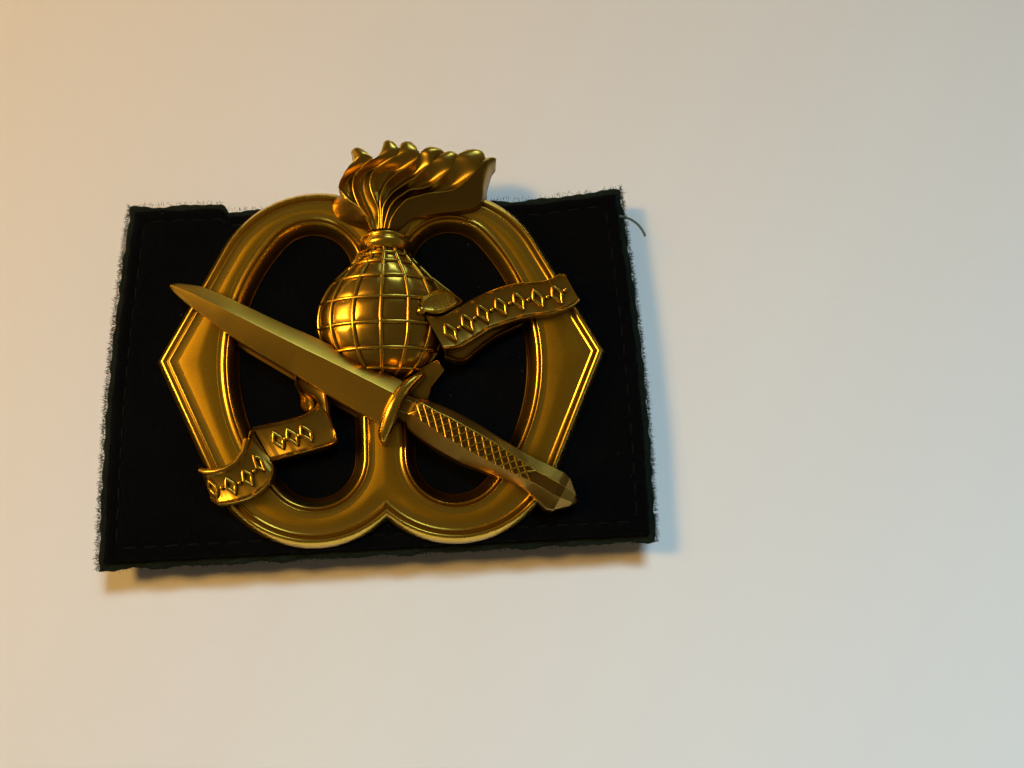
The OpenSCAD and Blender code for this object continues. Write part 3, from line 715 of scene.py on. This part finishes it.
bm = bmesh.new()
for k in range(14):
    for lean in (1, -1):
        u = 5.15 + 0.92 * k
        path = []
        for i in range(6):
            t = i / 5
            at = u + lean * (t - 0.5) * 1.5
            low, up = read_off(GRIP, at, 2), read_off(GRIP, at, 3)
            path.append(on_dagger(at, low + (up - low) * t, read_off(GRIP, at, 5) + 0.02))
        tube(bm, path, 0.13, 6)
edge = [on_dagger(u, read_off(GRIP, u, 3) + 0.04, read_off(GRIP, u, 5)) for u in (4.9 + 0.6 * k for k in range(27))]
tube(bm, edge, 0.1, 6)
brass_piece("grip_knurling", bm, BRASS, crease=70)


# ---------------------------------------------------------------- ribbons

# A ribbon's rolled border: distance in from the edge, and height over the ribbon.
BORDER = [(0, -0.4), (0.03, -0.08), (0.1, 0.14), (0.2, 0.24), (0.31, 0.14), (0.4, -0.04)]


def band(bm, low, up, heights, foot=0.4, count=44, sag=0.12):
    """Ribbon between two edge lines, with rolled borders and a height for each part of its run."""
    a_line, b_line = evenly(smooth_line(low, 8), count), evenly(smooth_line(up, 8), count)
    zs = smooth_line([(k, z) for k, z in enumerate(heights)], 8)
    rows = []
    for i, (a, b) in enumerate(zip(a_line, b_line)):
        s = i / (count - 1)
        z = zs[round(s * (len(zs) - 1))].y
        across = unit(b - a)
        side = [(0, foot)] + [(t, z + rise) for t, rise in BORDER] + [(0.58, z - sag)]
        ring = [(a + across * t, h) for t, h in side] + [(a.lerp(b, 0.5), z - sag)]
        ring += [(b - across * t, h) for t, h in reversed(side)]
        rows.append([(p.x, p.y, h) for p, h in ring])
    loft(bm, rows)


RIGHT_UP = [(4.1, 3.8), (4.6, 3.5), (5.3, 3.35), (6.0, 3.45), (6.7, 3.8), (7.5, 4.3), (8.4, 4.9), (9.3, 5.4),
            (10.3, 5.9), (11.3, 6.3), (12.3, 6.6), (13.3, 6.8), (14.4, 6.9), (15.4, 6.95), (16.4, 7.05), (17.1, 7.3),
            (17.6, 7.6), (18.0, 7.75), (18.4, 7.6)]
RIGHT_LOW = [(6.2, -0.1), (7.4, 0.0), (8.2, 0.4), (9.7, 1.35), (10.7, 2.0), (11.7, 2.35), (12.7, 2.7), (13.7, 3.0),
             (14.7, 3.2), (15.7, 3.3), (16.7, 3.4), (17.8, 3.7), (18.6, 4.0), (19.3, 4.35), (19.8, 4.8)]
RIGHT_Z = (4.2, 4.0, 3.6, 3.2, 2.95, 2.85, 2.85, 2.9, 2.95, 2.9)
bm = bmesh.new()
band(bm, RIGHT_LOW, RIGHT_UP, RIGHT_Z)
band(bm, [(6.1, -0.6), (7.1, -1.0), (7.8, -1.05), (8.4, -0.8), (9.2, -0.1), (10.2, 0.7), (11.2, 1.4), (12.2, 1.9),
          (13.3, 2.4), (14.0, 2.7)],
     [(6.3, 0.8), (7.8, 0.6), (9.6, 1.9), (11.8, 2.9), (13.2, 3.4), (14.4, 3.4)], (2.6, 2.2, 1.8, 1.7), foot=0.3,
     sag=0.1)
brass_piece("ribbon_right", bm, BRASS_DARK, crease=50)

bm = bmesh.new()
band(bm, [(4.2, 3.7), (5.0, 3.5), (5.9, 3.6), (6.8, 4.0), (7.6, 4.6), (8.1, 5.0)],
     [(3.75, 4.6), (4.1, 5.3), (4.9, 5.9), (5.8, 6.35), (6.7, 6.3), (7.5, 5.6)],
     (4.45, 4.2, 3.5, 2.6, 1.9), count=28)
bmesh.ops.create_icosphere(bm, subdivisions=3, radius=0.46, matrix=Matrix.Translation((3.9, 3.85, 4.45)))
brass_piece("ribbon_fold", bm, BRASS, crease=50)

CURL_IN = [(-12.9, -6.85), (-11.1, -6.6), (-9.7, -6.35), (-8.2, -5.95), (-7.2, -5.5), (-6.65, -4.95), (-6.6, -4.3),
           (-7.2, -3.75), (-8.2, -3.25), (-8.75, -2.5), (-8.7, -1.6)]
CURL_OUT = [(-11.0, -10.4), (-9.6, -10.1), (-8.3, -9.8), (-6.9, -9.5), (-5.6, -9.1), (-4.8, -8.75), (-4.65, -8.2),
            (-4.9, -7.4), (-5.15, -6.6), (-5.35, -5.8), (-5.35, -4.9), (-5.5, -4.2), (-5.6, -3.2)]
CURL_Z = (2.2, 2.55, 2.8, 2.75, 2.5, 2.3, 2.2)
bm = bmesh.new()
band(bm, CURL_OUT, CURL_IN, CURL_Z, count=56)
brass_piece("ribbon_curl", bm, BRASS_DARK, crease=50)

bm = bmesh.new()
band(bm, [(-8.9, -2.6), (-8.55, -3.3), (-8.3, -4.0), (-8.3, -4.9), (-7.9, -5.4)],
     [(-8.0, -2.9), (-7.4, -3.6), (-6.9, -4.2), (-6.8, -4.9), (-7.1, -5.4)], (1.9, 1.8, 1.5, 1.2), count=20)
brass_piece("ribbon_under", bm, BRASS, crease=50)

WRAP_UP = [(-18.3, -10.3), (-17.8, -11.0), (-16.4, -11.2), (-15.0, -10.85), (-13.9, -9.9), (-13.35, -8.6),
           (-13.2, -7.3), (-12.7, -7.0)]
WRAP_LOW = [(-17.0, -14.0), (-16.2, -14.5), (-14.7, -14.45), (-13.0, -14.0), (-11.6, -13.1), (-10.9, -12.1),
            (-10.7, -11.1), (-11.2, -9.9)]
WRAP_Z = (1.2, 2.4, 2.95, 3.1, 3.1, 3.0, 2.5, 1.9)
bm = bmesh.new()
band(bm, WRAP_LOW, WRAP_UP, WRAP_Z, count=44)
tube(bm, [(-17.9, -11.0, 2.0), (-17.4, -11.2, 2.5), (-16.4, -11.25, 2.95), (-15.3, -11.0, 3.15), (-14.3, -10.4, 3.2),
          (-13.6, -9.4, 3.2), (-13.3, -8.2, 3.0)], 0.3, 10)
brass_piece("ribbon_wrap", bm, BRASS_DARK, crease=50)


def ornament(bm, low, up, heights, places, size):
    """Raised lozenge outlines and beads in turn along the middle of a ribbon."""
    a_line, b_line = evenly(smooth_line(low, 8), 201), evenly(smooth_line(up, 8), 201)
    zs = smooth_line([(k, z) for k, z in enumerate(heights)], 8)
    for n, place in enumerate(places):
        i = round(place * 200)
        a, b = a_line[i], b_line[i]
        before, after = max(i - 2, 0), min(i + 2, 200)
        ahead = unit((a_line[after] + b_line[after]) - (a_line[before] + b_line[before]))
        over = unit(b - a)
        middle = a.lerp(b, 0.5)
        z = [zs[round(min(max(place + k * 0.03, 0), 1) * (len(zs) - 1))].y - 0.02 for k in (-1, 0, 1)]
        if n % 2 == 0:
            corners = [middle - ahead * size * 0.5, middle + over * size, middle + ahead * size * 0.5,
                       middle - over * size]
            corners = [Vector((p.x, p.y, h)) for p, h in zip(corners, (z[0], z[1], z[2], z[1]))]
            path = [corners[k // 3].lerp(corners[(k // 3 + 1) % 4], (k % 3) / 3) for k in range(12)]
            tube(bm, path + path[:2], 0.19, 8)
        else:
            bmesh.ops.create_icosphere(bm, subdivisions=2, radius=size * 0.26,
                                       matrix=Matrix.Translation((middle.x, middle.y, z[1])))


bm = bmesh.new()
ornament(bm, RIGHT_LOW, RIGHT_UP, RIGHT_Z, [0.11 + 0.064 * k for k in range(14)], 1.0)
ornament(bm, CURL_OUT, CURL_IN, CURL_Z, [0.14, 0.2, 0.26, 0.32, 0.38], 0.95)
ornament(bm, WRAP_LOW, WRAP_UP, WRAP_Z, [0.14, 0.24, 0.34, 0.44, 0.54, 0.64, 0.74], 0.9)
brass_piece("ribbon_ornament", bm, BRASS, crease=50)
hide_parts("struck_shell")


# ---------------------------------------------------------------- cloth patch

# The cloth's corners, anticlockwise from the lower left.
CLOTH = [Vector(p) for p in ((-28.6, -20.35), (27.0, -19.3), (25.1, 17.7), (-25.7, 16.6))]
FELT_LINE = inset_line(CLOTH, 0.75)
SEAM_INSET = 1.3
SEAM = inset_line(FELT_LINE, SEAM_INSET)
rng = random.Random(7)


def wave(x, y, seed):
    """Slow unevenness of a cut cloth, from -1 to 1."""
    return (math.sin(0.61 * x + 1.3 * seed) * math.cos(0.47 * y - seed)
            + 0.6 * math.sin(1.37 * y + 0.9 * x + 2.1 * seed) + 0.35 * math.sin(2.9 * x - 2.3 * y + seed)) / 1.95


def swell(p):
    """The short sides of the patch bow outwards a little, and its top edge is cut lower beyond the left corner."""
    near_top = min(1, max(0, (p.y - 11) / 4.5))
    step = min(1, max(0, (p.x + 16.2) / 0.5)) * min(1, max(0, (25 - p.x) / 9))
    bowed = p.x * (1 + 0.022 * math.cos(math.pi * min(1, abs(p.y + 1.5) / 36)))
    return Vector((bowed, p.y - 0.85 * near_top * step, *p[2:]))


def on_cloth(corners, s, t):
    """Point at the shares s and t of a piece's width and length."""
    return corners[0].lerp(corners[1], s).lerp(corners[3].lerp(corners[2], s), t)


def cloth_slab(name, corners, low, top, finish, ragged, dent, seed):
    """Cut piece of cloth: uneven edges, rounded border, and the dent that the seam draws."""
    bm = bmesh.new()
    bmesh.ops.create_grid(bm, x_segments=150, y_segments=104, size=0.5)
    size = Vector(((corners[1] - corners[0]).length, (corners[3] - corners[0]).length))
    for v in bm.verts:
        # The grid is closer towards the edges.
        s, t = (x - math.sin(2 * math.pi * x) * 0.1 for x in (v.co.x + 0.5, v.co.y + 0.5))
        p = on_cloth(corners, s, t)
        edge = min(s * size.x, (1 - s) * size.x, t * size.y, (1 - t) * size.y)
        sway = ragged * math.exp(-edge / 0.8)
        p = p + Vector((wave(0, p.y * 1.7, seed), wave(p.x * 1.7, 0, seed + 2))) * sway
        z = top - 0.02 + 0.05 * wave(p.x * 0.5, p.y * 0.5, seed) * min(1, edge / 3) - 0.42 * math.exp(-edge / 0.16)
        if dent:
            z -= 0.16 * math.exp(-((edge - SEAM_INSET) / 0.3) ** 2)
        v.co = swell(Vector((p.x, p.y, z)))
    made = bmesh.ops.extrude_face_region(bm, geom=bm.faces[:], use_keep_orig=True)["geom"]
    under = [g for g in made if isinstance(g, bmesh.types.BMVert)]
    for v in under:
        v.co.z = low + 0.02 + (top - 0.02 - v.co.z) * 0.35
    return finish_piece(name, bm, finish, "patch", lift=0, crease=60)


felt = cloth_slab("felt_sheet", FELT_LINE, FELT_LOW, FELT_TOP, FELT, 0.12, True, 3)
cloth = cloth_slab("green_cloth_sheet", CLOTH, 0.0, FELT_LOW, GREEN, 0.22, False, 5)
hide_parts("felt_patch")
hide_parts("cloth_backing")

bm = bmesh.new()
for i, a in enumerate(SEAM):
    b = SEAM[(i + 1) % 4]
    ahead = unit(b - a)
    run = (b - a).length - 2 * SEAM_INSET
    count = math.floor(run / 2)
    for k in range(count + 1):
        p = a + ahead * (SEAM_INSET + k * run / count)
        side = Vector((-ahead.y, ahead.x)) * rng.uniform(-0.05, 0.05)
        stitch = ((-0.66, -1, -0.32), (-0.5, -1, -0.16), (-0.2, 0, -0.1), (0.2, 0, -0.1), (0.5, 1, -0.16),
                  (0.66, 1, -0.32))
        path = [(p + ahead * along + side * across, z) for along, across, z in stitch]
        tube(bm, [swell(Vector((q.x, q.y, z))) for q, z in path], 0.11, 6)
stitches = finish_piece("seam_thread", bm, BLACK_THREAD, "patch", crease=70)
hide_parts("seam_stitches")


def fibres(name, starts, finish, thick):
    """Loose hairs, each from a start point out along a direction, bending as it goes."""
    bends = 4
    data = bpy.data.curves.new(name, "CURVE")
    data.dimensions, data.bevel_depth, data.bevel_resolution, data.use_fill_caps = "3D", thick * MM, 0, True
    for start, lean, length in starts:
        spline = data.splines.new("POLY")
        spline.points.add(bends)
        bend = Vector((rng.uniform(-1, 1), rng.uniform(-1, 1), rng.uniform(-0.5, 0.4)))
        for k, point in enumerate(spline.points):
            t = k / bends
            p = start + lean * (length * t) + bend * (length * 0.45 * t * t)
            point.co = (p.x * MM, p.y * MM, p.z * MM, 1)
            point.radius = 1 - 0.5 * t
    made = bpy.data.objects.new(name + "_line", data)
    scene.collection.objects.link(made)
    bpy.context.view_layer.update()
    mesh = bpy.data.meshes.new_from_object(made.evaluated_get(bpy.context.evaluated_depsgraph_get()))
    bpy.data.objects.remove(made)
    mesh.name = name
    mesh.materials.clear()
    mesh.materials.append(finish)
    piece = bpy.data.objects.new(name, mesh)
    scene.collection.objects.link(piece)
    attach(piece, "patch")
    return piece


def edge_starts(corners, counts, lowest, highest, reach):
    """Start, direction and length of the hairs along a cut edge, with a count for each side."""
    starts = []
    for side, count in enumerate(counts):
        a, b = corners[side], corners[(side + 1) % 4]
        out = Vector(((b - a).y, -(b - a).x)).normalized()
        for _ in range(count):
            p = a.lerp(b, rng.random()) - out * 0.12
            lean = Vector((out.x, out.y, rng.uniform(-0.3, 0.9)))
            lean += Vector((rng.uniform(-1, 1), rng.uniform(-1, 1), 0)) * 0.8
            start = swell(Vector((p.x, p.y, rng.uniform(lowest, highest))))
            starts.append((start, lean.normalized(), reach * rng.uniform(0.35, 1.0) ** 1.5))
    return starts


green_fringe = fibres("green_fringe", edge_starts(CLOTH, (440, 2280, 440, 2280), 0.3, 1.8, 0.42), GREEN_FIBRE,
                      0.02)
black_fringe = fibres("black_fringe", edge_starts(FELT_LINE, (260, 260, 360, 260), 1.1, 1.9, 0.4), BLACK_FIBRE,
                      0.016)
nap = []
for _ in range(1500):
    p = on_cloth(FELT_LINE, rng.random(), rng.random())
    turn = rng.uniform(0, 360)
    nap.append((swell(Vector((p.x, p.y, FELT_TOP - 0.06))), Vector((*direction(turn), 0.18)).normalized(),
                rng.uniform(0.3, 0.9)))
felt_nap = fibres("felt_nap", nap, BLACK_FIBRE, 0.012)


# ---------------------------------------------------------------- floor, light and camera

def paper_finish():
    """Plain pale paper with a little tooth."""
    f = Finish("plain_paper")
    tooth = f.noise(0.5, 4, 0.6)
    body = f.mix(f.noise(40, 2), colour(0.80, 0.79, 0.77), colour(0.76, 0.75, 0.735))
    return f.surface(Base_Color=body, Roughness=0.9, Specular_IOR_Level=0.15, Normal=f.bump(tooth, 0.02, 0.25))


FLOOR_SIDE = 1400
bm = bmesh.new()
bmesh.ops.create_grid(bm, x_segments=24, y_segments=24, size=0.5)
bmesh.ops.scale(bm, verts=bm.verts, vec=(FLOOR_SIDE, FLOOR_SIDE, 1))
bmesh.ops.translate(bm, verts=bm.verts, vec=(0, 0, LOWEST))
bmesh.ops.scale(bm, verts=bm.verts, vec=(MM, MM, MM))
mesh = bpy.data.meshes.new("paper_floor")
bm.to_mesh(mesh)
bm.free()
mesh.materials.append(paper_finish())
floor = bpy.data.objects.new("paper_floor", mesh)
scene.collection.objects.link(floor)


def area_light(name, towards, distance, size, power, tint, diffuse=True, glossy=True, aim=(0, 0, 0), spread=180):
    """Soft light in metres and watts, in a direction from the badge, that fans out by spread degrees."""
    data = bpy.data.lights.new(name, "AREA")
    data.shape, data.size, data.size_y = "RECTANGLE", size[0], size[1]
    data.energy, data.color, data.spread = power, tint, math.radians(spread)
    light = bpy.data.objects.new(name, data)
    way = Vector(towards).normalized()
    light.location = way * distance
    light.rotation_mode = "QUATERNION"
    light.rotation_quaternion = (Vector(aim) - light.location).to_track_quat("-Z", "Y")
    light.visible_diffuse, light.visible_glossy = diffuse, glossy
    scene.collection.objects.link(light)


# Each lamp and window has one light for cloth and paper, and others for what the brass reflects.
WARM, COOL = (1.0, 0.56, 0.14), (0.60, 0.85, 1.0)
area_light("lamp_on_paper", (-0.47, 0.14, 0.87), 0.5, (0.07, 0.07), 0.30, WARM, glossy=False, aim=(-0.14, 0.03, 0),
           spread=70)
area_light("window_on_paper", (0.12, 0.36, 0.93), 0.9, (0.22, 0.16), 0.5, COOL, glossy=False, aim=(0.12, -0.18, 0),
           spread=40)
area_light("lamp_shine", (-0.84, 0.12, 0.5), 0.5, (0.12, 0.12), 2.0, WARM, diffuse=False)
area_light("lamp_glow", (-0.66, 0.2, 0.73), 0.5, (0.16, 0.16), 0.34, WARM, diffuse=False)
area_light("window_shine", (0.3, 0.85, 0.42), 0.8, (0.26, 0.2), 1.05, COOL, diffuse=False)

world = bpy.data.worlds.new("room")
world.use_nodes = True
world.node_tree.nodes["Background"].inputs["Color"].default_value = colour(0.098, 0.077, 0.052)
world.node_tree.nodes["Background"].inputs["Strength"].default_value = 0.9
scene.world = world

CAMERA_AT = Vector((4.91, -21.71, 129.25 + FELT_TOP))
camera_data = bpy.data.cameras.new("camera")
camera_data.lens, camera_data.sensor_width = 45.4, 36
camera_data.clip_start, camera_data.clip_end = 0.01, 20
camera = bpy.data.objects.new("camera", camera_data)
forward, upward = Vector((0.0608, 0.1429, -0.9879)), Vector((0.0261, 0.9891, 0.1447))
right = forward.cross(upward).normalized()
camera.matrix_world = Matrix.Translation(CAMERA_AT * MM) @ Matrix((right, upward, -forward)).transposed().to_4x4()
scene.collection.objects.link(camera)
scene.camera = camera
scene.view_settings.view_transform = "Standard"
scene.view_settings.look = "None"
